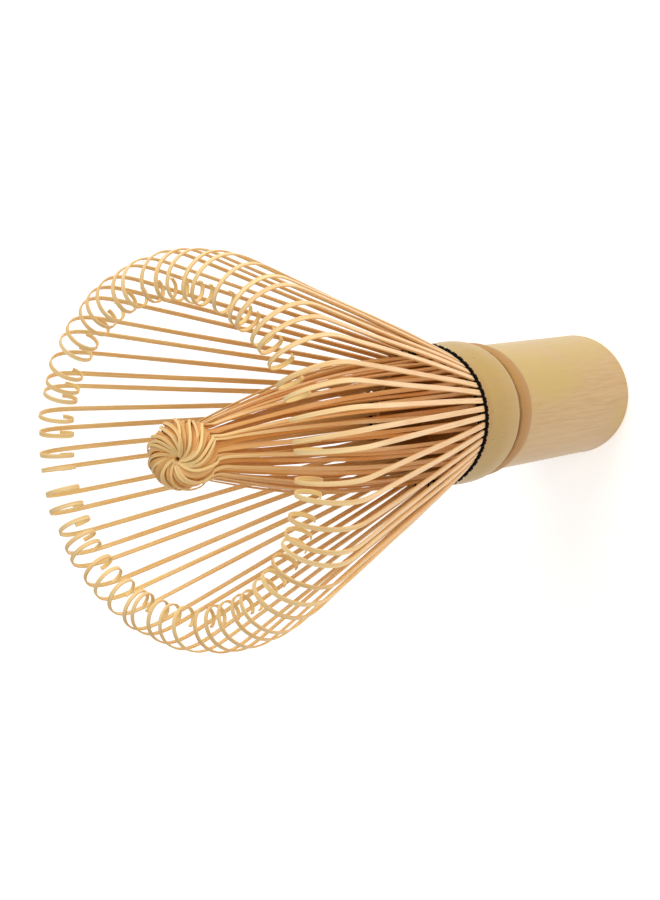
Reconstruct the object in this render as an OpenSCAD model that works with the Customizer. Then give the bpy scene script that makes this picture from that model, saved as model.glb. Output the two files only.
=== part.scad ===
// Bamboo tea whisk standing on its handle, millimetres.
// +Z runs along the whisk from the base of the handle to the tips of the tines.

/* [Handle] */
// diameter of the handle just above its rounded base
handle_d = 22.8; // [21:0.1:25]
// height of the lower edge of the node scar
handle_len = 38.6; // [30:0.1:55]
// height of the node scar
scar_h = 4.4; // [3:0.1:6]
// depth of the grooves at both edges of the scar
scar_depth = 0.25; // [0.15:0.05:0.5]
// rounding of the outer edge of the base
base_round = 1; // [0.5:0.1:2]
// diameter of the hollow in the handle
hollow_d = 16.6; // [13:0.1:18]
// thickness of the wall that closes the culm at its node
septum_t = 3; // [2:0.1:4]

/* [Collar] */
// height of the collar between the scar and the tine roots
collar_h = 11; // [7:0.1:14]
// largest diameter of the collar
collar_d = 24; // [23.6:0.1:25.4]

/* [Tines] */
// width of an outer tine where it leaves the culm
tine_w = 0.88; // [0.7:0.01:0.95]
// width of an outer tine at the top of its curl
tine_tip_w = 0.58; // [0.45:0.01:0.7]
// thickness of a tine where it leaves the culm
tine_root_t = 0.42; // [0.3:0.01:0.45]
// thickness of a tine at its tip
tine_tip_t = 0.26; // [0.2:0.01:0.3]
// length of the straight part of an outer tine
flare_len = 52.5; // [40:0.1:65]
// lean of the outer tines from the axis in degrees
flare_deg = 15.3; // [13:0.1:20]
// radius of the curl where it begins
curl_r = 5.7; // [4.8:0.1:7]
// radius of the curl at the tip
curl_tip_r = 1.3; // [1.1:0.05:1.6]
// length of tine rolled up in the curl
curl_len = 10.3; // [8:0.1:12.4]

/* [Centre bundle] */
// width of an inner tine
inner_w = 0.7; // [0.5:0.01:0.72]
// half width of the neck of the bundle
neck_r = 3.9; // [3.7:0.05:4.6]
// how far the inner tines bow outward on their way to the neck
belly = 0.7; // [0:0.1:1]
// half width of the knot at the top of the bundle
knot_r = 4.7; // [4.6:0.05:5.2]
// height of the widest part of the knot above the collar
knot_z = 60; // [48:0.5:72]

/* [Thread] */
// thickness of the thread wound round the tines
thread_d = 0.65; // [0.5:0.05:0.9]

/* [Hidden] */
tine_count = 56;
pitch_deg = 360 / tine_count;
collar_z = handle_len + scar_h;
root_z = collar_z + collar_h;
gap = 0.1;
handle_r = handle_d / 2;
handle_top_r = handle_r - 0.2;
scar_r = handle_top_r - scar_depth;
collar_r = collar_d / 2;
outer_root_r = collar_r - 0.9;
inner_root_r = outer_root_r - thread_d - 0.45;
bore_r = inner_root_r - 0.45;
root_deg = flare_deg + 1.7;
bend_len = 11;
tine_len = flare_len + bend_len + curl_len;
tie_z = root_z + 1;
tie_tine_r = outer_root_r + (tie_z - root_z - gap) * tan(root_deg);
tie_outer_r = tie_tine_r + tine_root_t / 2 + 0.05 + thread_d / 2;
tie_inner_r = tie_tine_r - tine_root_t / 2 - 0.09 - thread_d / 2;
root_gap = 2 * (tie_tine_r - tine_root_t / 2) * sin(pitch_deg / 2) - tine_w;
stitch_d = 0.65 * root_gap;
layer_gap = tine_root_t + 0.2 * inner_w;
knot_hole_r = 2.2 * inner_w;
swirl = 1.2;
outer_names = [for (i = [1:tine_count]) str("outer_tine_", i < 10 ? "0" : "", i)];
bamboo = [0.86, 0.73, 0.5];
tine_bamboo = [0.87, 0.7, 0.47];

// the whole stem: handle, node and collar, hollow above and below the node
module culm() {
    color(bamboo) rotate_extrude($fn = 96) difference() {
        union() {
            square([handle_r - base_round, handle_len]);
            translate([handle_r - base_round, base_round]) circle(r = base_round, $fn = 48);
            polygon([
                [0, base_round], [handle_r, base_round],
                [handle_top_r, handle_len], [0, handle_len]
            ]);
            translate([0, handle_len - 1]) square([scar_r, scar_h + 2]);
            intersection() {
                translate([scar_r - 4.92, handle_len + scar_h / 2]) circle(r = 5.5, $fn = 96);
                translate([0, handle_len]) square([handle_r + 2, scar_h]);
            }
            intersection() {
                translate([collar_r - 34, collar_z + collar_h * 0.4]) circle(r = 34, $fn = 320);
                translate([0, collar_z]) square([collar_r + 1, collar_h]);
            }
        }
        translate([-20, -1]) square([20, root_z + 2]);
        translate([-1, -1]) square([hollow_d / 2 + 1, handle_len - 0.5 + 1]);
        translate([-1, handle_len - 0.5 + septum_t]) square([bore_r + 1, root_z]);
    }
}

// the black thread wound outside and inside the ring of outer tines, with a stitch in each gap
module binding_thread() {
    color([0.06, 0.05, 0.05]) union() {
        rotate_extrude($fn = 96) translate([tie_outer_r, tie_z]) circle(d = thread_d, $fn = 32);
        rotate_extrude($fn = 96) translate([tie_inner_r, tie_z]) circle(d = thread_d, $fn = 32);
        for (i = [0:tine_count - 1])
            rotate([0, 0, (i + 0.5) * pitch_deg])
                translate([tie_inner_r, 0, tie_z]) rotate([0, 90, 0])
                    cylinder(h = tie_outer_r - tie_inner_r, d = stitch_d, $fn = 24);
    }
}

// a strip seen from its side: the points of its middle line, its headings and its thicknesses
function headings_normal(a) = [cos(a), -sin(a)];
function left_side(p, a, t) = [for (k = [0:len(p) - 1]) p[k] - headings_normal(a[k]) * t[k] / 2];
function right_side(p, a, t) = [for (k = [len(p) - 1:-1:0]) p[k] + headings_normal(a[k]) * t[k] / 2];
function strip_outline(p, a, t) = concat(left_side(p, a, t), right_side(p, a, t));

// an upright strip of bamboo cut square across, w wide
module strip(points, w) {
    rotate([90, 0, 0]) translate([0, 0, -w / 2]) linear_extrude(height = w) polygon(points);
}

// heading of an outer tine in degrees outward from the axis, s mm along it; roll scales its curl
function bend_share(s) = min(max((s - flare_len) / bend_len, 0), 1);
function curl_share(s) = min(max((s - flare_len - bend_len) / curl_len, 0), 1);
function bend_turn(a) = bend_len / curl_r * (a * a * a - a * a * a * a / 2);
function curl_turn(b) = curl_len * (b / curl_r + (1 / curl_tip_r - 1 / curl_r) * b * b / 2);
function tine_turn(s) = (bend_turn(bend_share(s)) + curl_turn(curl_share(s))) * 180 / PI;
function tine_heading(s, roll) =
    root_deg + (flare_deg - root_deg) * min(s / 25, 1) - roll * tine_turn(s);
function tine_thickness(s) = tine_root_t + (tine_tip_t - tine_root_t) * s / tine_len;
tine_stations = concat(
    [for (k = [0:4]) k * 6.25],
    [flare_len * 0.75],
    [for (k = [0:9]) flare_len + bend_len * k / 10],
    [for (k = [0:24]) flare_len + bend_len + curl_len * pow(k / 24, 0.75)]
);
function tine_step(k, roll) =
    let (s0 = tine_stations[k], s1 = tine_stations[k + 1], a = tine_heading((s0 + s1) / 2, roll))
    (s1 - s0) * [sin(a), cos(a)];
function tine_line(roll) = [
    for (k = 0, p = [outer_root_r, root_z + gap];
        k < len(tine_stations);
        p = k < len(tine_stations) - 1 ? p + tine_step(k, roll) : p, k = k + 1) p
];
function tine_outline(roll) = strip_outline(
    tine_line(roll),
    [for (s = tine_stations) tine_heading(s, roll)],
    [for (s = tine_stations) tine_thickness(s)]
);

// hand work: each tine leans and rolls up a little differently from its neighbours
function sway(i) = 0.18 * sin(i * 137.5) + 0.12 * sin(i * 61 + 20);
function roll_of(i) = 1 + 0.035 * sin(i * 97 + 40) + 0.025 * sin(i * 211);

// the sides of an outer tine: two planes that close in from the root to the top of the whisk
module tine_taper() {
    rotate([90, 0, 90]) linear_extrude(height = 3 * collar_d) polygon([
        [-tine_w / 2, root_z - 1], [tine_w / 2, root_z - 1],
        [tine_tip_w / 2, root_z + tine_len], [-tine_tip_w / 2, root_z + tine_len]
    ]);
}

module outer_tine(i) {
    color(tine_bamboo) rotate([0, 0, (i - 1) * pitch_deg])
        translate([0, 0, root_z]) rotate([sway(i), 0, 0]) translate([0, 0, -root_z])
            intersection() {
                strip(tine_outline(roll_of(i)), tine_w);
                tine_taper();
            }
}

// inner tines lie in four layers where they crowd, and pass the axis at the swirl distance
function layer_in(i) = layer_gap * (i % 4);
function knot_point(a, i) = [
    (knot_r - layer_in(i)) * cos(a), root_z + knot_z + (knot_r - layer_in(i)) * 0.95 * sin(a)
];
module inner_tine(i) {
    n0 = root_z + knot_z - knot_r * 1.5;
    low = [for (k = [0:10]) let (u = k / 10) [
        inner_root_r + (neck_r - inner_root_r) * pow(u, 2.3) + belly * pow(sin(180 * u), 2)
            - layer_in(i) * min(3 * u, 1),
        root_z + gap + (n0 - root_z - gap) * u
    ]];
    end_a = acos(knot_hole_r / (knot_r - layer_in(i)));
    knot = [for (k = [0:12]) knot_point(-40 + (end_a + 40) * k / 12, i)];
    line = concat(low, knot);
    last = len(line) - 1;
    turn = [for (k = [0:last]) let (
        d = k == 0 ? line[1] - line[0] : k == last ? line[last] - line[last - 1] : line[k + 1] - line[k - 1]
    ) atan2(d[0], d[1])];
    thick = [for (k = [0:last]) tine_root_t + (tine_tip_t - tine_root_t) * k / last];
    color(tine_bamboo) rotate([0, 0, (i + 0.5) * pitch_deg]) translate([0, swirl, 0])
        strip(strip_outline(line, turn, thick), inner_w);
}

module inner_tines() {
    for (i = [0:tine_count - 1]) inner_tine(i);
}

culm();
binding_thread();
inner_tines();
for (i = [1:tine_count])
    outer_tine(i);
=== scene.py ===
"""Bamboo tea whisk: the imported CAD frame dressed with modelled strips, knot, thread and culm.

The file is laid out as an add-on and is run as a script. Lengths are metres unless a name says mm.
"""

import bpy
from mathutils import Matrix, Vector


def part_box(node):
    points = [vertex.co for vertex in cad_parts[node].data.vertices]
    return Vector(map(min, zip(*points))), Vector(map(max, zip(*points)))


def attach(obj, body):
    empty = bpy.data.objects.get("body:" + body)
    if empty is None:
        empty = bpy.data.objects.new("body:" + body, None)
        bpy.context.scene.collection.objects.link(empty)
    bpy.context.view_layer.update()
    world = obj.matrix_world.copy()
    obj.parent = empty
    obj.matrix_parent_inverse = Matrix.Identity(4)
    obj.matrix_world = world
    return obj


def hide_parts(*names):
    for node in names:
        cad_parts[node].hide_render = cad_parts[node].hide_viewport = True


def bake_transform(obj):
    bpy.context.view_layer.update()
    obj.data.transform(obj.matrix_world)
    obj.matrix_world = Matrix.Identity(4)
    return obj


bl_info = {
    "name": "Bamboo Tea Whisk",
    "version": (1, 0, 0),
    "blender": (4, 5, 0),
    "location": "3D View > Sidebar > Whisk",
    "description": "Builds a bamboo tea whisk with curled tines round its CAD frame",
    "category": "Add Mesh",
}

from math import pi, radians

import bpy
import numpy as np
from mathutils import Matrix, Vector

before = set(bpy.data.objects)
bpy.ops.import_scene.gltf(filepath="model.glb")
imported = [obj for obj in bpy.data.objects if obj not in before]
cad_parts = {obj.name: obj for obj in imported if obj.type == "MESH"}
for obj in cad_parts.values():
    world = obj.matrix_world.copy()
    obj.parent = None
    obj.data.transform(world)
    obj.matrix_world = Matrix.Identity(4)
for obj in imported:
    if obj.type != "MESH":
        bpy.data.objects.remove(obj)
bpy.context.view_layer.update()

MM = 0.001
TINE_COUNT = 56
PITCH = 2 * pi / TINE_COUNT
SEED = 7
STEM = "stem"

SCAR_H = 4.4  # height of the node scar, mm
FLARE_LEN, BEND_LEN = 52.5, 11.0  # straight part of an outer tine and its slow bend, mm
THREAD_INSET = 0.46  # from the outside of the thread to the middle of its outer winding, mm
RING_APART = 1.3  # between the outer and the inner winding, mm
KNOT_GAP = 0.35  # under the top of the CAD knot, mm
LAYER_DEPTH = 0.36  # from one layer of inner tines to the next, mm
ROOT_HEADING, ROOT_FALL = radians(16.95), radians(1.7)  # an outer tine's lean, and its fall
FLOOR_HALF = 1.5  # half the side of the floor, metres
FLOOR_CORNERS = ((-1, -1), (1, -1), (1, 1), (-1, 1))
CAMERA_AIM = (0.0, 0.00269, 0.08167)  # metres
CAMERA_ASIDE = -0.01861  # sideways part of the way from the aim to the camera
SOFTBOX_AIM = (0.0, 0.0, 0.08)  # metres
SOFTBOXES = (  # name, place and side in metres, watts
    ("softbox_top", (-0.10, -0.55, 0.45), 0.50, 2.3),
    ("softbox_front", (-0.55, -0.05, 0.35), 0.45, 0.8),
    ("softbox_side", (0.45, 0.35, 0.45), 0.45, 0.06),
)


# ---------------------------------------------------------------- places taken from the frame

def frame_sizes():
    """Heights and radii in mm that the pieces share, from the boxes of the CAD nodes."""
    culm_lo, culm_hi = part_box("culm")
    thread_lo, thread_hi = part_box("binding_thread")
    knot_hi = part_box("inner_tines")[1]
    return {
        "root_z": culm_hi[2] / MM,
        "collar_r": (culm_hi[0] - culm_lo[0]) / 2 / MM,
        "thread_z": (thread_lo[2] + thread_hi[2]) / 2 / MM,
        "thread_r": (thread_hi[0] - thread_lo[0]) / 2 / MM,
        "knot_top": knot_hi[2] / MM,
    }


SIZES = frame_sizes()
ROOT_Z = SIZES["root_z"]
OUTER_ROOT_R = SIZES["collar_r"] - 0.9  # middle of an outer tine where it leaves the culm
INNER_ROOT_R = OUTER_ROOT_R - 1.0


# ---------------------------------------------------------------- mesh building

def unit(v):
    """Each vector of an array divided by its length."""
    return v / np.maximum(np.linalg.norm(v, axis=-1, keepdims=True), 1e-12)


def smooth_step(x):
    """0 below 0, 1 above 1 and the cubic 3x^2 - 2x^3 between."""
    x = np.clip(x, 0.0, 1.0)
    return x * x * (3 - 2 * x)


def signed_volume(points, quads):
    """Sum over the quads of the tetrahedra that their two triangles make with the origin."""
    a, b, c, d = (points[quads[:, k]] for k in range(4))
    first = np.einsum("ij,ij->i", a, np.cross(b, c))
    second = np.einsum("ij,ij->i", a, np.cross(c, d))
    return (first + second).sum() / 6


class Surface:
    """Grids of quads gathered into one mesh, each with its UV map and named point values."""

    def __init__(self):
        self.points, self.quads, self.fans, self.uvs = [], [], [], []
        self.values = {}
        self.count = 0

    def add_tube(self, rings, uv, values=None, closed=False):
        """A profile carried along a path: rings is stations x profile points x 3 in mm.

        Ring k and ring k + 1 are joined by quads, and open ends are capped by one face each.
        The winding is turned where the enclosed volume comes out negative.
        """
        n, m = rings.shape[:2]
        index = np.arange(n * m).reshape(n, m)
        along = n if closed else n - 1
        here = index[:along]
        there = np.roll(index, -1, axis=0)[:along]
        quads = np.stack(
            [here, np.roll(here, -1, 1), np.roll(there, -1, 1), there], -1
        ).reshape(-1, 4)
        flat = rings.reshape(-1, 3)
        centred = flat - flat.mean(0)
        turned = signed_volume(centred, quads) < 0
        if turned:
            quads = quads[:, ::-1]
        self.quads.append(quads + self.count)
        if not closed:
            caps = [index[0, ::-1], index[-1]]
            self.fans += [(c[::-1] if turned else c) + self.count for c in caps]
        self.points.append(flat)
        self.uvs.append(np.asarray(uv, float).reshape(-1, 2))
        for name, value in (values or {}).items():
            value = np.broadcast_to(np.asarray(value, float), (n, m)).reshape(-1)
            self.values.setdefault(name, []).append(value)
        self.count += n * m

    def to_object(self, name, material, sharp_deg=38.0):
        """The mesh in metres as a linked object at the origin, smooth but for its sharp edges."""
        points = np.concatenate(self.points) * MM
        uv = np.concatenate(self.uvs)
        faces = np.concatenate(self.quads).tolist() + [f.tolist() for f in self.fans]
        mesh = bpy.data.meshes.new(name)
        mesh.from_pydata(points.tolist(), [], faces)
        corners = np.zeros(len(mesh.loops), np.int32)
        mesh.loops.foreach_get("vertex_index", corners)
        layer = mesh.uv_layers.new(name="Strip")
        layer.data.foreach_set("uv", uv[corners].astype(np.float32).ravel())
        for key, parts in self.values.items():
            held = mesh.attributes.new(key, "FLOAT", "POINT")
            held.data.foreach_set("value", np.concatenate(parts).astype(np.float32))
        mesh.shade_smooth()
        mesh.set_sharp_from_angle(angle=radians(sharp_deg))
        mesh.materials.append(material)
        mesh.validate()
        mesh.update()
        made = bpy.data.objects.new(name, mesh)
        bpy.context.scene.collection.objects.link(made)
        return made


def strip_rings(path, normal, width, thick, chamfer):
    """A flat strip: a rectangle with cut corners carried along a path, and its across lengths.

    path and normal are stations x 3, width and thick are per station, all in mm. The broad
    faces look along the normal and against it, and the width lies across both.
    """
    tangent = unit(np.gradient(path, axis=0))
    normal = unit(normal - (normal * tangent).sum(-1, keepdims=True) * tangent)
    across = np.cross(tangent, normal)
    half_w, half_t = width / 2, thick / 2
    cut = np.minimum(chamfer, half_t * 0.6)
    x = np.stack([
        -half_w, -half_w, -half_w + cut, half_w - cut,
        half_w, half_w, half_w - cut, -half_w + cut,
    ], -1)
    y = np.stack([
        -half_t + cut, half_t - cut, half_t, half_t,
        half_t - cut, -half_t + cut, -half_t, -half_t,
    ], -1)
    rings = (
        path[:, None] + across[:, None] * x[..., None] + normal[:, None] * y[..., None]
    )
    return rings, x, y


def path_length(path):
    """Length along a polyline up to each of its points."""
    steps = np.linalg.norm(np.diff(path, axis=0), axis=-1)
    return np.concatenate([[0.0], np.cumsum(steps)])


def strip_uv(path, x, number):
    """UV in centimetres: across the strip, moved apart for each strip, and along it."""
    v = path_length(path)[:, None] * np.ones_like(x)
    return np.stack([(x + number * 2.37) * 0.1, v * 0.1], -1)


# ---------------------------------------------------------------- the shapes of the pieces

def tine_path(number, sizes, rng):
    """Middle line and outward normal of an outer tine in its own upright plane, in mm.

    The heading from the axis falls by 1.7 degrees over the first 25 mm and waves by half a
    degree. It stays straight, bends inward as a^3 - a^4 / 2 over 11 mm and then rolls up with a
    curvature that grows evenly.
    The plane is then turned to the tine's place and leans a little to one side.
    """
    curl_len = sizes.curl_length / MM
    first_r, last_r = 5.7, sizes.curl_tip_radius / MM
    roll = 1 + 0.035 * np.sin(radians(number * 97 + 40)) + 0.025 * np.sin(radians(number * 211))
    s = np.concatenate([
        np.linspace(-0.9, FLARE_LEN, 30)[:-1],
        np.linspace(FLARE_LEN, FLARE_LEN + BEND_LEN, 18)[:-1],
        FLARE_LEN + BEND_LEN + curl_len * np.linspace(0, 1, 52) ** 0.8,
    ])
    a = np.clip((s - FLARE_LEN) / BEND_LEN, 0, 1)
    b = np.clip((s - FLARE_LEN - BEND_LEN) / curl_len, 0, 1)
    turn = BEND_LEN / first_r * (a**3 - a**4 / 2)
    turn += curl_len * (b / first_r + (1 / last_r - 1 / first_r) * b * b / 2)
    flare = ROOT_HEADING - ROOT_FALL * np.clip(s / 25, 0, 1)
    wave = radians(0.5) * np.sin(s / 9.0 + number * 1.7) * smooth_step(s / 15)
    heading = flare + wave - roll * turn
    middle = (heading[1:] + heading[:-1]) / 2
    step = np.diff(s)
    r = OUTER_ROOT_R + np.concatenate([[0], np.cumsum(np.sin(middle) * step)])
    z = ROOT_Z + 0.1 + np.concatenate([[0], np.cumsum(np.cos(middle) * step)])
    r += OUTER_ROOT_R - np.interp(0.0, s, r)
    z += ROOT_Z + 0.1 - np.interp(0.0, s, z)
    sway = radians(0.45 * np.sin(radians(number * 137.5)) + 0.3 * np.sin(radians(number * 61 + 20)))
    side = -(z - ROOT_Z) * np.sin(sway)
    side = side + 0.5 * rng.uniform(-1, 1) * smooth_step((s - 48) / 26) ** 2
    angle = (number - 1) * PITCH
    out = np.array([np.cos(angle), np.sin(angle), 0.0])
    round_way = np.array([-np.sin(angle), np.cos(angle), 0.0])
    up = np.array([0.0, 0.0, 1.0])
    path = r[:, None] * out + side[:, None] * round_way + z[:, None] * up
    normal = np.cos(heading)[:, None] * out - np.sin(heading)[:, None] * up
    twist = radians(7) * rng.uniform(-1, 1) * smooth_step(s / 60)
    normal = normal * np.cos(twist)[:, None] + round_way * np.sin(twist)[:, None]
    return s, path, normal


def tine_surface(number, sizes):
    """One outer tine, narrower and thinner towards the tip and uneven as hand work is."""
    rng = np.random.default_rng([SEED, number])
    s, path, normal = tine_path(number, sizes, rng)
    total = s[-1]
    width = (sizes.tine_width + (sizes.tine_tip_width - sizes.tine_width) * s / total) / MM
    width *= 1 + 0.03 * np.sin(s / 4.1 + rng.uniform(0, 6)) + rng.uniform(-0.03, 0.03)
    thick = sizes.tine_root_thickness / MM + (
        (sizes.tine_tip_thickness - sizes.tine_root_thickness) / MM * smooth_step(s / total)
    )
    rings, x, y = strip_rings(path, normal, width, thick, 0.05)
    values = {
        "tone": rng.uniform(0, 1),
        "skin_side": np.clip(y / thick[:, None] + 0.5, 0, 1),
        "along": (s / total)[:, None],
        "edge": np.abs(x) / (width[:, None] / 2),
    }
    surface = Surface()
    surface.add_tube(rings, strip_uv(path, x, number), values)
    return surface


def through_points(points, per_span):
    """A Catmull-Rom curve through points, strips x knots x 3: per_span stations a span."""
    before = np.concatenate([2 * points[:, :1] - points[:, 1:2], points], 1)
    full = np.concatenate([before, 2 * points[:, -1:] - points[:, -2:-1]], 1)
    p0, p1, p2, p3 = (full[:, k:full.shape[1] - 3 + k, None] for k in range(4))
    t = (np.arange(per_span) / per_span)[None, None, :, None]
    curve = 0.5 * (
        2 * p1 + (p2 - p0) * t + (2 * p0 - 5 * p1 + 4 * p2 - p3) * t**2
        + (3 * p1 - p0 - 3 * p2 + p3) * t**3
    )
    flat = curve.reshape(points.shape[0], -1, 3)
    return np.concatenate([flat, points[:, -1:]], 1)


def knot_axes(sizes):
    """The pole of the knot, leaning from the whisk's axis, and two directions square to it."""
    lean, way = sizes.knot_lean, sizes.knot_lean_direction
    pole = np.array([np.sin(lean) * np.cos(way), np.sin(lean) * np.sin(way), np.cos(lean)])
    first = unit(np.cross([0.0, 0.0, 1.0], pole))
    return pole, first, np.cross(pole, first)


def inner_layer(number):
    """Depth in mm of an inner tine under the face of the bundle: three layers by turns."""
    return (number * 2 % 3) * LAYER_DEPTH


def bundle_paths(sizes):
    """Middle lines of the inner tines, strips x stations x 3 in mm, and their outward normals.

    Each strip closes in from the root ring to the knot as u^2.1 and bows out by sin^2(pi u) on
    the way. It then runs over a ball, from under its middle to 8 degrees from the knot's pole:
    with f the share of that way, its longitude turns by the knot's twist times
    0.35 f + 0.65 f^2.2. Round the pole it dips in, and its end is tucked under.
    """
    early_turn, pole_gap, run = radians(8), radians(8), radians(113)
    rng = np.random.default_rng(SEED)
    i = np.arange(TINE_COUNT)
    layer = inner_layer(i)
    angle = (i + 0.5) * PITCH + rng.uniform(-0.035, 0.035, TINE_COUNT)
    radius = sizes.knot_radius / MM
    centre = np.array([0.0, 0.0, SIZES["knot_top"] - radius - KNOT_GAP])
    pole, first, second = knot_axes(sizes)
    fall = np.array([0, 0.13, 0.27, 0.4, 0.53, 0.65, 0.75, 0.85, 0.93, 1, 1, 0.98])[None]
    tucked = np.array([0.0, 0, 0, 0, 0, 0, 0, 0, 0, 0, 0.22, 0.42])
    facing = np.cos(angle + early_turn - sizes.knot_lean_direction)[:, None]
    psi = pole_gap + (run - 0.9 * sizes.knot_lean * facing) * (1 - fall)
    turn = sizes.knot_twist * (0.35 * fall + 0.65 * fall**2.2)
    turn = turn * (1 + rng.uniform(-0.32, 0.32, (TINE_COUNT, 1)))
    lon = angle[:, None] + early_turn + rng.uniform(-0.05, 0.05, (TINE_COUNT, 1)) - turn
    start = np.arctan2(first[1], first[0])
    lon = lon - start + 0.10 * np.sin(2.6 * psi + rng.uniform(0, 6, (TINE_COUNT, 1)))
    dip = 0.38 * smooth_step((radians(46) - psi) / radians(44)) + tucked
    ball_r = (radius - layer[:, None] * 0.8 + rng.uniform(-0.24, 0.08, (TINE_COUNT, 1)))
    ball_r = ball_r * (1 - dip)
    ball = centre + ball_r[..., None] * (
        np.sin(psi)[..., None]
        * (np.cos(lon)[..., None] * first + np.sin(lon)[..., None] * second)
        + np.cos(psi)[..., None] * pole
    )
    foot = ball[:, :1]
    drift = np.arctan2(foot[..., 1], foot[..., 0]) - angle[:, None]
    drift = (drift + pi) % (2 * pi) - pi
    u = 1 - (1 - np.linspace(0, 1, 10)[None]) ** 1.5
    low_z = ROOT_Z - 0.5 + (foot[..., 2] - 2.2 - ROOT_Z + 0.5) * u
    neck_r = 0.94 * np.hypot(foot[..., 0], foot[..., 1])
    low_r = INNER_ROOT_R + (neck_r - INNER_ROOT_R) * u**2.1 + 0.5 * np.sin(pi * u) ** 2
    low_r = low_r - layer[:, None] * np.minimum(3 * u, 1) * (1 - u**2.1)
    low_r = low_r + rng.uniform(-0.45, 0.2, (TINE_COUNT, 1)) * np.sin(pi * u)
    low_a = angle[:, None] + drift * u**2
    low = np.stack([low_r * np.cos(low_a), low_r * np.sin(low_a), low_z * np.ones_like(low_a)], -1)
    path = through_points(np.concatenate([low, ball], 1), 5)
    hub = np.stack([
        np.zeros_like(path[..., 2]), np.zeros_like(path[..., 2]),
        np.minimum(path[..., 2], centre[2]),
    ], -1)
    return path, unit(path - hub)


def bundle_surface(sizes):
    """All inner tines in one mesh. Near the pole each strip tilts, so it overlaps the next."""
    rng = np.random.default_rng(SEED + 1)
    paths, normals = bundle_paths(sizes)
    surface = Surface()
    for number, (path, normal) in enumerate(zip(paths, normals)):
        s = path_length(path) / path_length(path)[-1]
        tangent = unit(np.gradient(path, axis=0))
        side = np.cross(tangent, normal)
        tilt = radians(24) * smooth_step((s - 0.72) / 0.2) * rng.uniform(0.4, 1.5)
        tilt = tilt + radians(26) * rng.uniform(-1, 1) * np.sin(pi * np.clip(s / 0.8, 0, 1))
        normal = normal * np.cos(tilt)[:, None] + side * np.sin(tilt)[:, None]
        width = sizes.inner_tine_width / MM * (1 - 0.28 * smooth_step((s - 0.6) / 0.25))
        width = width * (rng.uniform(0.84, 1.12) + 0.05 * np.sin(s * 22 + rng.uniform(0, 6)))
        width = width * (1 + 0.3 * inner_layer(number))
        width = width * (1 + 3.2 * inner_layer(number) ** 1.5 * smooth_step((s - 0.78) / 0.1))
        thick = 0.34 - 0.19 * smooth_step(s / 0.8)
        rings, x, y = strip_rings(path, normal, width, thick, 0.045)
        values = {
            "tone": rng.uniform(0, 1),
            # Painted shade: a mask that darkens inner tines in the lower layers, rising over the
            # first third of each strip, where shade falls under the strips above.
            "under_layer_shade": inner_layer(number) / (2 * LAYER_DEPTH) * smooth_step(s[:, None] / 0.3),
            "skin_side": np.clip(y / thick[:, None] + 0.5, 0, 1),
            "along": s[:, None],
            "edge": np.abs(x) / (width[:, None] / 2),
        }
        surface.add_tube(rings, strip_uv(path, x, number + 70), values)
    return surface


def cord_rings(path, radius, sides, closed):
    """A round cord: a circle carried along a path with frames kept level."""
    ahead = np.roll(path, -1, 0) - np.roll(path, 1, 0) if closed else np.gradient(path, axis=0)
    tangent = unit(ahead)
    level = unit(np.cross(tangent, np.array([0.0, 0.0, 1.0])) + 1e-9)
    upward = np.cross(level, tangent)
    turn = np.linspace(0, 2 * pi, sides, endpoint=False)
    circle = (
        np.cos(turn)[None, :, None] * level[:, None] + np.sin(turn)[None, :, None] * upward[:, None]
    )
    return path[:, None] + circle * radius


def winding_path(theta, radius, height, dips, depth, lift):
    """A ring round the whisk that dips inward by depth at each of the gaps between tines, as
    ((1 + cos) / 2)^2, and rises and falls by lift from tine to tine."""
    gap = (0.5 + 0.5 * np.cos(theta * dips + pi)) ** 2
    r = radius - depth * gap
    z = height + lift * np.cos(theta * dips / 2)
    return np.stack([r * np.cos(theta), r * np.sin(theta), z], -1)


def plies(path, twists, offset):
    """Two strands wound round a closed path, half a turn apart."""
    tangent = unit(np.roll(path, -1, 0) - np.roll(path, 1, 0))
    level = unit(np.cross(tangent, np.array([0.0, 0.0, 1.0])))
    upward = np.cross(level, tangent)
    turn = np.linspace(0, 2 * pi * twists, len(path), endpoint=False)[:, None]
    swing = offset * (np.cos(turn) * level + np.sin(turn) * upward)
    return path + swing, path - swing


def thread_surface(sizes):
    """The binding: a twisted outer winding, a plain inner one and a stitch through each gap."""
    surface = Surface()
    height = SIZES["thread_z"]
    outer_r = SIZES["thread_r"] - THREAD_INSET
    half = sizes.thread_diameter / MM / 2
    theta = np.linspace(0, 2 * pi, TINE_COUNT * 20, endpoint=False)
    ring_uv = np.stack(np.broadcast_arrays(np.linspace(0, 1, 8)[None], theta[:, None] * 1.2), -1)
    outer = winding_path(theta + PITCH / 2, outer_r, height, TINE_COUNT, 0.16, 0.0)
    for strand in plies(outer, 84, half * 0.48):
        surface.add_tube(cord_rings(strand, half * 0.56, 8, True), ring_uv, closed=True)
    inner = winding_path(theta, outer_r - RING_APART, height + 0.1, TINE_COUNT, 0.0, 0.1)
    surface.add_tube(cord_rings(inner, half * 0.8, 8, True), ring_uv, closed=True)
    rng = np.random.default_rng(SEED + 2)
    t = np.linspace(0, 1, 9)
    for number in range(TINE_COUNT):
        angle = (number + 0.5) * PITCH + rng.uniform(-0.006, 0.006)
        rise = rng.uniform(0.45, 0.75)
        r = outer_r + 0.05 - RING_APART * smooth_step(t)
        z = height + 0.1 + rise * np.sin(pi * (0.12 + 0.78 * t))
        a = angle + 0.018 * (t - 0.5)
        path = np.stack([r * np.cos(a), r * np.sin(a), z], -1)
        uv = np.stack(np.broadcast_arrays(np.linspace(0, 1, 6)[None] + number, t[:, None]), -1)
        surface.add_tube(cord_rings(path, 0.13, 6, False), uv)
    return surface


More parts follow.
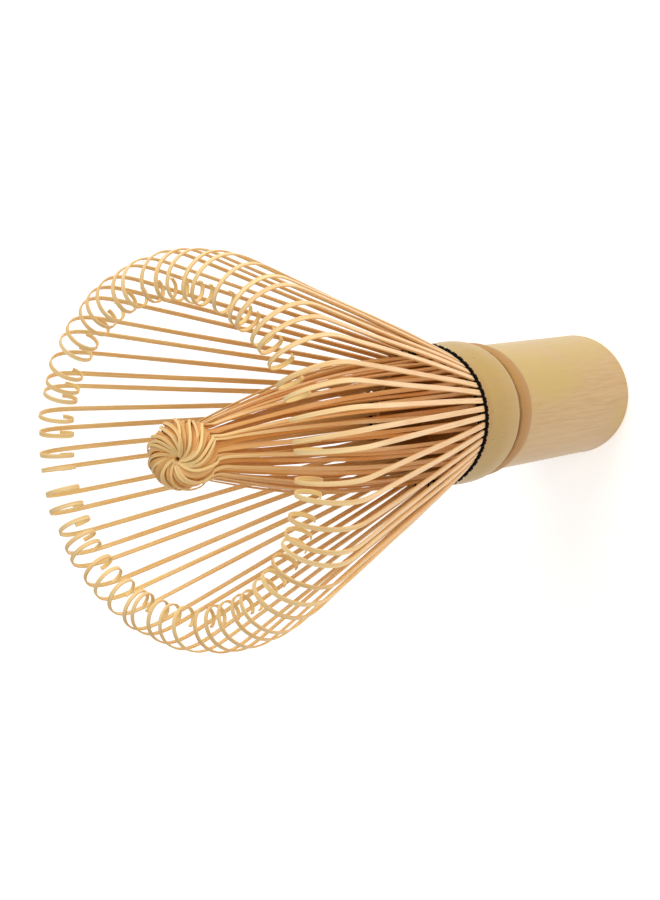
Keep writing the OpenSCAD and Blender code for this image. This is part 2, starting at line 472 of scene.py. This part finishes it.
def culm_profile(sizes):
    """Radius and height of the culm's section in mm, from the septum's underside round the base,
    up the skin, over the collar and down the bore to the top of the septum. Also a value that
    says what each point is: 0 skin, 1 sawn end, 2 hollow.

    The scar bulges as sin(pi u)^0.7 between a groove at each edge. With h the smooth step over
    the collar's first quarter, it swells as 1 - (1 - h)^2, and from a third of its height it
    closes in towards the thread as a smooth step to the power of 1.15.
    """
    base_r, top_r = 11.42, 10.98
    scar_z = sizes.scar_height / MM
    collar = SIZES["collar_r"]
    hollow, bore = 8.3, INNER_ROOT_R - 0.45
    septum = scar_z - 0.5
    arc = np.linspace(0, pi / 2, 9)
    parts = [
        (np.linspace(0.25, hollow - 0.6, 10), np.full(10, septum) - 0.5 * np.cos(
            np.linspace(0, pi / 2, 10)), 2),
        (hollow - 0.6 + 0.6 * np.sin(arc), septum - 0.6 + 0.6 * np.cos(arc), 2),
        (np.full(12, hollow), np.linspace(septum - 1, 0.5, 12), 2),
        (hollow + 0.35 - 0.35 * np.cos(arc), 0.35 - 0.35 * np.sin(arc), 1),
        (np.linspace(hollow + 0.6, base_r - 1.0, 6), np.zeros(6), 1),
        (base_r - 0.9 + 0.9 * np.sin(arc), 0.9 - 0.9 * np.cos(arc), 0),
        (np.linspace(base_r, top_r, 40), np.linspace(1.4, scar_z - 0.5, 40), 0),
    ]
    u = np.linspace(0, 1, 24)
    band = top_r + 0.22 + 0.40 * np.sin(pi * u) ** 0.7 - 0.30 * np.exp(-((u - 0.02) / 0.05) ** 2)
    band = band - 0.16 * np.exp(-((u - 0.985) / 0.045) ** 2) + 0.15 * u
    parts.append((band, scar_z + SCAR_H * u, 0))
    v = np.linspace(0.06, 1, 34)
    swell = collar + 0.12 - 0.85 * (1 - smooth_step(v / 0.26)) ** 2
    swell = swell - 0.74 * smooth_step((v - 0.34) / 0.66) ** 1.15
    top = scar_z + SCAR_H + (ROOT_Z - 0.05 - scar_z - SCAR_H) * v
    parts.append((swell, top, 0))
    lip = OUTER_ROOT_R + 0.30
    parts += [
        (lip - 0.25 + 0.25 * np.cos(arc[1:]), ROOT_Z - 0.05 + 0.05 * np.sin(arc[1:]), 1),
        (np.linspace(lip - 0.4, bore + 0.3, 5), np.full(5, ROOT_Z), 1),
        (bore + 0.2 - 0.2 * np.sin(arc), ROOT_Z - 0.2 + 0.2 * np.cos(arc), 1),
        (np.full(8, bore), np.linspace(ROOT_Z - 0.6, septum + 3.8, 8), 2),
        (np.linspace(bore - 0.3, 0.25, 10), septum + 3.0 + 0.5 * np.cos(
            np.linspace(pi / 2, 0, 10)) * 0.6, 2),
    ]
    r = np.concatenate([p[0] for p in parts])
    z = np.concatenate([p[1] for p in parts])
    kind = np.concatenate([np.full(len(p[0]), float(p[2])) for p in parts])
    apart = np.append(True, np.hypot(np.diff(r), np.diff(z)) > 1e-3)
    return r[apart], z[apart], kind[apart]


def culm_surface(sizes):
    """The culm: its section carried once round the axis, with a slight flute and waver in the
    skin, then a lid on each end of the section so the mesh is closed at the axis."""
    r, z, kind = culm_profile(sizes)
    sides = 160
    a = np.linspace(0, 2 * pi, sides, endpoint=False)[None]
    skin = (kind[:, None] < 0.5) & (z[:, None] > 1.0)
    waver = 0.030 * np.sin(2 * a + 0.6) + 0.018 * np.sin(3 * a + z[:, None] / 11)
    waver = waver + 0.008 * np.sin(23 * a + z[:, None] / 30) + 0.006 * np.sin(41 * a)
    near_scar = np.exp(-((z[:, None] - sizes.scar_height / MM - SCAR_H / 2) / 3.0) ** 2)
    waver = waver + 0.035 * near_scar * np.sin(17 * a + 1.3) * np.sin(5 * a)
    radius = r[:, None] + np.where(skin, np.minimum(waver, 0.05) - 0.05, 0.0)
    height = z[:, None] + 0.05 * near_scar * np.sin(7 * a) * skin
    rings = np.stack([radius * np.cos(a), radius * np.sin(a), height * np.ones_like(a)], -1)
    uv = np.stack(np.broadcast_arrays(a / (2 * pi), z[:, None] / 60), -1)
    surface = Surface()
    surface.add_tube(rings, uv, {"part": kind[:, None]})
    return surface


# ---------------------------------------------------------------- shader nodes

def node(tree, kind, values=None, **settings):
    """A new shader node: settings are its properties, and values fill or link its inputs."""
    made = tree.nodes.new(kind)
    for name, value in settings.items():
        setattr(made, name, value)
    for key, value in (values or {}).items():
        if isinstance(value, bpy.types.NodeSocket):
            tree.links.new(value, made.inputs[key])
        else:
            made.inputs[key].default_value = value
    return made


def math_node(tree, operation, *values):
    """A Math node's result."""
    made = node(tree, "ShaderNodeMath", dict(enumerate(values)), operation=operation)
    return made.outputs[0]


def blend_colour(tree, share, first, second, mode="MIX"):
    """First mixed with second by share."""
    made = node(tree, "ShaderNodeMix", data_type="RGBA", blend_type=mode)
    sockets = {s.identifier: s for s in made.inputs}
    for key, value in (("Factor_Float", share), ("A_Color", first), ("B_Color", second)):
        if isinstance(value, bpy.types.NodeSocket):
            tree.links.new(value, sockets[key])
        else:
            sockets[key].default_value = value
    return next(s for s in made.outputs if s.identifier == "Result_Color")


def step_between(tree, value, low, high):
    """0 where value is under low, 1 over high and smooth between."""
    made = node(tree, "ShaderNodeMapRange", {"Value": value, "From Min": low, "From Max": high},
                interpolation_type="SMOOTHSTEP")
    return made.outputs["Result"]


def attribute(tree, name):
    """A named point value of the mesh."""
    return node(tree, "ShaderNodeAttribute", attribute_name=name).outputs["Fac"]


def share_of(tree, mask, most):
    """A mask scaled so that its highest value is most."""
    return math_node(tree, "MULTIPLY", mask, most)


def object_mm(tree):
    """The place on the piece in mm."""
    place = node(tree, "ShaderNodeTexCoord").outputs["Object"]
    scale = (1 / MM, 1 / MM, 1 / MM)
    return node(tree, "ShaderNodeVectorMath", {0: place, 1: scale},
                operation="MULTIPLY").outputs[0]


def bamboo_fibre_group():
    """Shader group: lines of fibre along the Z of its vector, fine lines and broad patches."""
    name = "Bamboo fibre"
    if name in bpy.data.node_groups:
        return bpy.data.node_groups[name]
    tree = bpy.data.node_groups.new(name, "ShaderNodeTree")
    face = tree.interface
    face.new_socket("Vector", in_out="INPUT", socket_type="NodeSocketVector")
    for label, value in (("Coarseness", 1.0), ("Stretch", 0.03)):
        made = face.new_socket(label, in_out="INPUT", socket_type="NodeSocketFloat")
        made.default_value = value
    for label in ("Fibre", "Fine", "Patch", "Height"):
        face.new_socket(label, in_out="OUTPUT", socket_type="NodeSocketFloat")
    start, end = node(tree, "NodeGroupInput"), node(tree, "NodeGroupOutput")
    squeeze = node(tree, "ShaderNodeCombineXYZ", {
        "X": start.outputs["Coarseness"], "Y": start.outputs["Coarseness"],
        "Z": start.outputs["Stretch"],
    })
    along = node(tree, "ShaderNodeVectorMath", {
        0: start.outputs["Vector"], 1: squeeze.outputs[0]}, operation="MULTIPLY")
    fibre = node(tree, "ShaderNodeTexNoise", {
        "Vector": along.outputs[0], "Scale": 2.6, "Detail": 4.0, "Roughness": 0.62})
    fine = node(tree, "ShaderNodeTexNoise", {
        "Vector": along.outputs[0], "Scale": 8.5, "Detail": 2.0, "Roughness": 0.5})
    patch = node(tree, "ShaderNodeTexNoise", {
        "Vector": start.outputs["Vector"], "Scale": 0.11, "Detail": 3.0, "Roughness": 0.55})
    height = math_node(
        tree, "ADD", share_of(tree, fibre.outputs["Fac"], 0.65),
        share_of(tree, fine.outputs["Fac"], 0.35))
    for label, value in (
        ("Fibre", step_between(tree, fibre.outputs["Fac"], 0.36, 0.66)),
        ("Fine", step_between(tree, fine.outputs["Fac"], 0.35, 0.68)),
        ("Patch", step_between(tree, patch.outputs["Fac"], 0.38, 0.64)),
        ("Height", height),
    ):
        tree.links.new(value, end.inputs[label])
    return tree


def new_material(name):
    """A material with only a Principled BSDF and its output; gives both the tree and the shader."""
    made = bpy.data.materials.new(name)
    made.use_nodes = True
    tree = made.node_tree
    tree.nodes.clear()
    shader = node(tree, "ShaderNodeBsdfPrincipled")
    end = node(tree, "ShaderNodeOutputMaterial")
    tree.links.new(shader.outputs["BSDF"], end.inputs["Surface"])
    return made, tree, shader


def surface_finish(tree, shader, colour, rough, relief, strength, depth, gloss):
    """Joins colour and roughness to the shader, gives it a relief and sets its gloss."""
    tree.links.new(colour, shader.inputs["Base Color"])
    tree.links.new(rough, shader.inputs["Roughness"])
    bump = node(tree, "ShaderNodeBump", {
        "Height": relief, "Strength": strength, "Distance": depth})
    tree.links.new(bump.outputs["Normal"], shader.inputs["Normal"])
    shader.inputs["Specular IOR Level"].default_value = gloss


def strip_bamboo(name, finish, coarse, skin):
    """Split bamboo: peach skin, golden inner face, darker cut edges and fibre along the strip. The
    curled tips are brightened as painted light, and inner tines in the lower layers get painted
    shade.

    The UV map is in centimetres and the fibre in mm, and the tone moves each strip's pattern apart.
    Outer tines carry no value for the painted shade of lower layers, and it reads as 0 on them.
    """
    made, tree, shader = new_material(name)
    place = node(tree, "ShaderNodeUVMap", uv_map="Strip").outputs["UV"]
    parts = node(tree, "ShaderNodeSeparateXYZ", {0: place})
    tone = attribute(tree, "tone")
    spread = node(tree, "ShaderNodeCombineXYZ", {
        "X": math_node(tree, "MULTIPLY", parts.outputs[0], 10.0),
        "Y": math_node(tree, "MULTIPLY", tone, 40.0),
        "Z": math_node(tree, "MULTIPLY", parts.outputs[1], 10.0),
    })
    fibre = node(tree, "ShaderNodeGroup", node_tree=bamboo_fibre_group())
    tree.links.new(spread.outputs[0], fibre.inputs["Vector"])
    fibre.inputs["Coarseness"].default_value = coarse
    fibre.inputs["Stretch"].default_value = 0.035
    side = step_between(tree, attribute(tree, "skin_side"), 0.35, 0.75)
    colour = blend_colour(tree, side, finish.inner_face, skin)
    tip_tone_and_light = step_between(tree, attribute(tree, "along"), 0.55, 0.95)
    near_edge = step_between(tree, attribute(tree, "edge"), 0.80, 1.0)
    for mask, most, paint_colour in (
        # Partly the golden colour of the curls, partly painted light: the tips are brightened for
        # light shining through the thin curls.
        (tip_tone_and_light, 0.55, finish.tip),
        # Painted shade on inner tines that lie under others.
        (attribute(tree, "under_layer_shade"), 0.75, finish.under_layer_shade),
        (tone, 0.26, finish.dark_fibre),
        (fibre.outputs["Fibre"], 0.34, finish.dark_fibre),
        (fibre.outputs["Patch"], 0.22, finish.pale_fibre),
        (near_edge, 0.38, finish.cut_edge),
    ):
        colour = blend_colour(tree, share_of(tree, mask, most), colour, paint_colour)
    rough = math_node(tree, "ADD", 0.44, share_of(tree, fibre.outputs["Fine"], 0.18))
    surface_finish(tree, shader, colour, rough, fibre.outputs["Height"], 0.35, 0.00006, 0.35)
    return made


def culm_bamboo(name, finish, sizes):
    """Dried culm: pale gold skin with greenish patches, set more on the lit -Y side as painted
    light, a brown node scar, specks, darker towards the root, and sawn ends.
    """
    made, tree, shader = new_material(name)
    mm = object_mm(tree)
    parts = node(tree, "ShaderNodeSeparateXYZ", {0: mm})
    height = parts.outputs[2]
    fibre = node(tree, "ShaderNodeGroup", node_tree=bamboo_fibre_group())
    tree.links.new(mm, fibre.inputs["Vector"])
    fibre.inputs["Coarseness"].default_value = 0.8
    fibre.inputs["Stretch"].default_value = 0.022
    colour = blend_colour(
        tree, share_of(tree, fibre.outputs["Fibre"], 0.45), finish.culm_skin, finish.culm_grain)
    colour = blend_colour(
        tree, share_of(tree, fibre.outputs["Fine"], 0.16), colour, finish.pale_fibre)
    drift = node(tree, "ShaderNodeMapping", {"Vector": mm, "Scale": (1, 1, 0.55)})
    cloud = node(tree, "ShaderNodeTexNoise", {
        "Vector": drift.outputs[0], "Scale": 0.085, "Detail": 3.0, "Roughness": 0.6})
    # Painted light: the patches come more often on the -Y side, which the top softbox lights, so
    # that side of the handle reads yellower and a little lighter.
    lit_side_bias = node(tree, "ShaderNodeMapRange", {
        "Value": parts.outputs[1], "From Min": 2.0, "From Max": -9.0}).outputs["Result"]
    patch_and_lit_noise = math_node(tree, "ADD", cloud.outputs["Fac"], share_of(tree, lit_side_bias, 0.22))
    patch_and_lit_mask = step_between(tree, patch_and_lit_noise, 0.50, 0.72)
    colour = blend_colour(tree, share_of(tree, patch_and_lit_mask, 0.85), colour, finish.culm_patch_and_lit_side)
    scar_z = sizes.scar_height / MM
    scar_top = scar_z + SCAR_H
    collar = step_between(tree, height, scar_top - 0.1, scar_top + 0.8)
    colour = blend_colour(tree, share_of(tree, collar, 0.70), colour, finish.collar)
    wobble = node(tree, "ShaderNodeTexNoise", {"Vector": mm, "Scale": 0.35, "Detail": 3.0})
    uneven = math_node(tree, "SUBTRACT", wobble.outputs["Fac"], 0.5)
    waver = math_node(tree, "ADD", height, share_of(tree, uneven, 0.5))
    into = step_between(tree, waver, scar_z - 0.25, scar_z + 0.35)
    out = step_between(tree, waver, scar_top - 0.35, scar_top + 0.15)
    band = math_node(tree, "MULTIPLY", into, math_node(tree, "SUBTRACT", 1.0, out))
    mottle = math_node(tree, "ADD", 0.62, share_of(tree, wobble.outputs["Fac"], 0.4))
    colour = blend_colour(tree, share_of(tree, band, mottle), colour, finish.scar)
    for edge in (scar_z + 0.05, scar_top - 0.05):
        away = math_node(tree, "ABSOLUTE", math_node(tree, "SUBTRACT", waver, edge))
        line = math_node(tree, "SUBTRACT", 1.0, step_between(tree, away, 0.06, 0.36))
        colour = blend_colour(tree, share_of(tree, line, 0.85), colour, finish.scar_line)
    speck_noise = node(tree, "ShaderNodeTexVoronoi", {"Vector": mm, "Scale": 1.1})
    speck = math_node(tree, "SUBTRACT", 1.0, step_between(
        tree, speck_noise.outputs["Distance"], 0.06, 0.22))
    chance = node(tree, "ShaderNodeTexNoise", {"Vector": mm, "Scale": 0.30, "Detail": 2.0})
    close = step_between(tree, height, scar_top + 3.8, scar_top + 9.2)
    where = share_of(tree, close, step_between(tree, chance.outputs["Fac"], 0.50, 0.60))
    colour = blend_colour(tree, share_of(tree, speck, where), colour, finish.speck)
    # Darker towards the root: the scar colour is laid over the last 2.6 mm of the collar under the
    # tines.
    near_root_darkening = step_between(tree, height, ROOT_Z - 2.6, ROOT_Z + 0.2)
    colour = blend_colour(tree, share_of(tree, near_root_darkening, 0.62), colour, finish.scar)
    part = attribute(tree, "part")
    sawn = step_between(tree, part, 0.2, 0.8)
    flat = node(tree, "ShaderNodeMapping", {"Vector": mm, "Scale": (1, 1, 0.0)})
    dots = node(tree, "ShaderNodeTexVoronoi", {"Vector": flat.outputs[0], "Scale": 1.9})
    bundle = math_node(
        tree, "SUBTRACT", 1.0, step_between(tree, dots.outputs["Distance"], 0.12, 0.34))
    end_grain = blend_colour(
        tree, share_of(tree, bundle, 0.65), finish.end_grain, finish.scar_line)
    colour = blend_colour(tree, sawn, colour, end_grain)
    inside = step_between(tree, part, 1.2, 1.8)
    pith = blend_colour(tree, fibre.outputs["Fibre"], finish.pith, finish.culm_grain)
    colour = blend_colour(tree, inside, colour, pith)
    rough = math_node(tree, "ADD", 0.30, share_of(tree, fibre.outputs["Fine"], 0.12))
    rough = math_node(tree, "ADD", rough, share_of(tree, sawn, 0.35))
    rough = math_node(tree, "ADD", rough, share_of(tree, band, 0.18))
    surface_finish(tree, shader, colour, rough, fibre.outputs["Height"], 0.22, 0.00008, 0.45)
    return made


def black_thread(name, finish):
    """Waxed black cotton: near black with paler fibres across the twist."""
    made, tree, shader = new_material(name)
    mm = object_mm(tree)
    fuzz = node(tree, "ShaderNodeTexNoise", {"Vector": mm, "Scale": 7.0, "Detail": 3.0})
    worn = step_between(tree, fuzz.outputs["Fac"], 0.5, 0.72)
    colour = blend_colour(tree, share_of(tree, worn, 0.6), finish.thread, finish.thread_fibre)
    rough = math_node(tree, "ADD", 0.62, share_of(tree, fuzz.outputs["Fac"], 0.25))
    surface_finish(tree, shader, colour, rough, fuzz.outputs["Fac"], 0.5, 0.00008, 0.12)
    return made


def floor_paper(name, finish):
    """Pale paper with a faint tooth, which gives off a little light so that it stays pale."""
    made, tree, shader = new_material(name)
    place = node(tree, "ShaderNodeTexCoord").outputs["Object"]
    tooth = node(tree, "ShaderNodeTexNoise", {"Vector": place, "Scale": 900.0, "Detail": 2.0})
    shade = share_of(tree, tooth.outputs["Fac"], 0.03)
    colour = blend_colour(tree, shade, finish.floor, (0.8, 0.78, 0.75, 1))
    tree.links.new(colour, shader.inputs["Base Color"])
    shader.inputs["Roughness"].default_value = 0.9
    shader.inputs["Specular IOR Level"].default_value = 0.1
    tree.links.new(colour, shader.inputs["Emission Color"])
    shader.inputs["Emission Strength"].default_value = 0.45
    return made


def material_named(name, build, *arguments):
    """The material of that name, built the first time it is asked for."""
    return bpy.data.materials.get(name) or build(name, *arguments)


# ---------------------------------------------------------------- settings

def length(name, default, description):
    """A length setting shown in the scene's unit."""
    return bpy.props.FloatProperty(
        name=name, default=default, description=description, unit="LENGTH", precision=5)


def paint(name, default, description):
    """A colour setting with alpha, as linear values."""
    return bpy.props.FloatVectorProperty(
        name=name, default=(*default, 1.0), description=description, size=4, subtype="COLOR",
        min=0.0, max=1.0)


class WhiskSizes(bpy.types.PropertyGroup):
    """Sizes that a maker would change."""

    tine_width: length("Tine width", 0.89 * MM, "Width of an outer tine at its root")
    tine_tip_width: length("Tine tip width", 0.58 * MM, "Width of an outer tine at its tip")
    tine_root_thickness: length("Root thickness", 0.40 * MM, "Thickness of a tine at its root")
    tine_tip_thickness: length("Tip thickness", 0.22 * MM, "Thickness of a tine at its tip")
    curl_length: length("Curl length", 10.8 * MM, "Length of tine rolled up in the curl")
    curl_tip_radius: length("Curl tip radius", 1.3 * MM, "Radius of the curl at the tip")
    inner_tine_width: length("Inner tine width", 0.60 * MM, "Width of an inner tine")
    knot_radius: length("Knot radius", 4.72 * MM, "Radius of the ball of twisted tine ends")
    knot_twist: bpy.props.FloatProperty(
        name="Knot twist", default=radians(75), subtype="ANGLE",
        description="Turn of the tine ends round the knot")
    knot_lean: bpy.props.FloatProperty(
        name="Knot lean", default=radians(27), subtype="ANGLE",
        description="Lean of the knot's pole from the whisk's axis")
    knot_lean_direction: bpy.props.FloatProperty(
        name="Knot lean direction", default=radians(158), subtype="ANGLE",
        description="Direction in which the knot's pole leans, from +X")
    scar_height: length("Scar height", 38.6 * MM, "Height of the lower edge of the node scar")
    thread_diameter: length("Thread diameter", 0.70 * MM, "Thickness of the binding thread")


class WhiskFinish(bpy.types.PropertyGroup):
    """Colours of the bamboo, the thread and the floor."""

    skin_face: paint("Skin face", (0.90, 0.64, 0.37), "Outer face of a split tine")
    bundle_face: paint("Bundle face", (0.76, 0.43, 0.175), "Outer face of an inner tine")
    inner_face: paint("Inner face", (0.92, 0.66, 0.28), "Inner face of a split tine")
    # Partly the golden colour of the curls, partly painted light that brightens them for the light
    # shining through the thin curls.
    tip: paint("Tip", (0.98, 0.82, 0.35), "Bamboo of the curled tips")
    # Painted shade: the colour that darkens inner tines lying under others.
    under_layer_shade: paint("Deep strips", (0.68, 0.23, 0.015), "Inner tines that lie under others")
    dark_fibre: paint("Dark fibre", (0.58, 0.21, 0.02), "Darkest fibres of a tine")
    pale_fibre: paint("Pale fibre", (0.85, 0.66, 0.40), "Palest fibres")
    cut_edge: paint("Cut edge", (0.62, 0.25, 0.025), "Cut edges of a tine")
    culm_skin: paint("Culm skin", (0.52, 0.315, 0.115), "Skin of the handle")
    culm_grain: paint("Culm grain", (0.42, 0.225, 0.062), "Grain lines of the handle")
    # Partly the culm's own mottle, partly painted light: the patches gather on the lit -Y side of
    # the handle.
    culm_patch_and_lit_side: paint("Green patches", (0.51, 0.34, 0.080), "Patches that dried greenish")
    collar: paint("Collar", (0.42, 0.255, 0.055), "Skin of the collar")
    scar: paint("Node scar", (0.38, 0.165, 0.024), "Band of the node scar")
    scar_line: paint("Scar edges", (0.20, 0.09, 0.025), "Lines that edge the scar")
    speck: paint("Specks", (0.16, 0.07, 0.02), "Small dark specks by the thread")
    end_grain: paint("End grain", (0.68, 0.42, 0.17), "Sawn ends of the culm")
    pith: paint("Pith", (0.62, 0.28, 0.05), "Inside of the hollow")
    thread: paint("Thread", (0.0022, 0.0017, 0.0015), "Binding thread")
    thread_fibre: paint("Thread fibres", (0.010, 0.007, 0.006), "Worn fibres on the thread")
    floor: paint("Floor", (0.93, 0.925, 0.91), "Paper the whisk stands on")


class WhiskStage(bpy.types.PropertyGroup):
    """Camera and light."""

    camera_distance: length("Camera distance", 0.2058, "Distance from the camera to its aim")
    camera_height: bpy.props.FloatProperty(
        name="Camera height", default=radians(53.20), subtype="ANGLE",
        description="Angle of the camera above the level of its aim")
    camera_roll: bpy.props.FloatProperty(
        name="Camera roll", default=radians(99.77), subtype="ANGLE",
        description="Turn of the camera about its view")
    lens_mm: bpy.props.FloatProperty(
        name="Lens", default=55.57, unit="CAMERA", description="Focal length")
    sky: bpy.props.FloatProperty(
        name="Sky", default=0.54, description="Strength of the light from all round")
    softbox: bpy.props.FloatProperty(
        name="Softbox", default=1.0, description="Strength of the softboxes")


# ---------------------------------------------------------------- operators

class WHISK_OT_culm(bpy.types.Operator):
    """Builds the culm: handle, node scar, collar and the hollow inside"""

    bl_idname = "whisk.culm"
    bl_label = "Culm"

    def execute(self, context):
        scene = context.scene
        finish = material_named("Culm bamboo", culm_bamboo, scene.whisk_finish, scene.whisk_sizes)
        made = culm_surface(scene.whisk_sizes).to_object("whisk_culm", finish)
        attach(made, STEM)
        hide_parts("culm")
        return {"FINISHED"}


class WHISK_OT_outer_tines(bpy.types.Operator):
    """Builds the outer tines and hides the CAD body that each one replaces"""

    bl_idname = "whisk.outer_tines"
    bl_label = "Outer tines"

    def execute(self, context):
        scene = context.scene
        colours = scene.whisk_finish
        finish = material_named("Tine bamboo", strip_bamboo, colours, 1.5, colours.skin_face)
        for number in range(1, TINE_COUNT + 1):
            surface = tine_surface(number, scene.whisk_sizes)
            made = surface.to_object(f"whisk_outer_tine_{number:02d}", finish)
            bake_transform(made)
            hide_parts(f"outer_tine_{number:02d}")
        return {"FINISHED"}


class WHISK_OT_inner_tines(bpy.types.Operator):
    """Builds the inner tines and the knot that their ends are twisted into"""

    bl_idname = "whisk.inner_tines"
    bl_label = "Inner tines"

    def execute(self, context):
        scene = context.scene
        colours = scene.whisk_finish
        finish = material_named(
            "Inner tine bamboo", strip_bamboo, colours, 1.7, colours.bundle_face)
        made = bundle_surface(scene.whisk_sizes).to_object("whisk_inner_tines", finish)
        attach(made, STEM)
        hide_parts("inner_tines")
        return {"FINISHED"}


class WHISK_OT_thread(bpy.types.Operator):
    """Builds the thread wound round the roots of the tines"""

    bl_idname = "whisk.thread"
    bl_label = "Binding thread"

    def execute(self, context):
        scene = context.scene
        finish = material_named("Black thread", black_thread, scene.whisk_finish)
        made = thread_surface(scene.whisk_sizes).to_object("whisk_thread", finish, 60)
        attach(made, STEM)
        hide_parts("binding_thread")
        return {"FINISHED"}


def look_at(place, aim, roll=0.0):
    """A camera or light matrix at place that looks at aim, turned about its view by roll."""
    view = (Vector(aim) - Vector(place)).to_track_quat("-Z", "Y").to_matrix().to_4x4()
    return Matrix.Translation(place) @ view @ Matrix.Rotation(roll, 4, "Z")


def softbox(name, place, aim, size, watts):
    """A square area light."""
    light = bpy.data.lights.new(name, "AREA")
    light.shape = "SQUARE"
    light.size = size
    light.energy = watts
    made = bpy.data.objects.new(name, light)
    made.matrix_world = look_at(place, aim)
    bpy.context.scene.collection.objects.link(made)


class WHISK_OT_stage(bpy.types.Operator):
    """Builds the floor, the soft lights and the camera"""

    bl_idname = "whisk.stage"
    bl_label = "Stage"

    def execute(self, context):
        scene = context.scene
        stage = scene.whisk_stage
        mesh = bpy.data.meshes.new("floor")
        corners = [(x * FLOOR_HALF, y * FLOOR_HALF, 0) for x, y in FLOOR_CORNERS]
        mesh.from_pydata(corners, [], [(0, 1, 2, 3)])
        mesh.materials.append(material_named("Floor paper", floor_paper, scene.whisk_finish))
        floor = bpy.data.objects.new("floor", mesh)
        scene.collection.objects.link(floor)

        for name, place, side, watts in SOFTBOXES:
            softbox(name, place, SOFTBOX_AIM, side, watts * stage.softbox)

        world = bpy.data.worlds.new("Studio")
        world.use_nodes = True
        backdrop = world.node_tree.nodes["Background"]
        backdrop.inputs["Color"].default_value = (1.0, 0.99, 0.975, 1.0)
        backdrop.inputs["Strength"].default_value = stage.sky
        scene.world = world
        scene.view_settings.view_transform = "Standard"

        camera = bpy.data.cameras.new("camera")
        camera.sensor_width = 36.0
        camera.lens = stage.lens_mm
        camera.clip_start, camera.clip_end = 0.01, 20.0
        aim = Vector(CAMERA_AIM)
        way = Vector((-np.cos(stage.camera_height), CAMERA_ASIDE, np.sin(stage.camera_height)))
        place = aim + way.normalized() * stage.camera_distance
        made = bpy.data.objects.new("camera", camera)
        made.matrix_world = look_at(place, aim, -stage.camera_roll)
        scene.collection.objects.link(made)
        scene.camera = made
        return {"FINISHED"}


class WHISK_PT_panel(bpy.types.Panel):
    """Buttons that build the whisk piece by piece"""

    bl_label = "Bamboo Tea Whisk"
    bl_idname = "WHISK_PT_panel"
    bl_space_type = "VIEW_3D"
    bl_region_type = "UI"
    bl_category = "Whisk"

    def draw(self, context):
        for operator in OPERATORS:
            self.layout.operator(operator.bl_idname)
        for group in ("whisk_sizes", "whisk_finish", "whisk_stage"):
            box = self.layout.box()
            settings = getattr(context.scene, group)
            for key in settings.__annotations__:
                box.prop(settings, key)


OPERATORS = (
    WHISK_OT_culm, WHISK_OT_outer_tines, WHISK_OT_inner_tines, WHISK_OT_thread, WHISK_OT_stage,
)
CLASSES = (WhiskSizes, WhiskFinish, WhiskStage, *OPERATORS, WHISK_PT_panel)


def register():
    """Registers the classes and gives the scene its settings."""
    for cls in CLASSES:
        bpy.utils.register_class(cls)
    bpy.types.Scene.whisk_sizes = bpy.props.PointerProperty(type=WhiskSizes)
    bpy.types.Scene.whisk_finish = bpy.props.PointerProperty(type=WhiskFinish)
    bpy.types.Scene.whisk_stage = bpy.props.PointerProperty(type=WhiskStage)


def unregister():
    """Takes back what register did."""
    for key in ("whisk_sizes", "whisk_finish", "whisk_stage"):
        delattr(bpy.types.Scene, key)
    for cls in reversed(CLASSES):
        bpy.utils.unregister_class(cls)


def main():
    """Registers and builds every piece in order."""
    register()
    for operator in OPERATORS:
        family, name = operator.bl_idname.split(".")
        getattr(getattr(bpy.ops, family), name)()


if __name__ == "__main__":
    main()
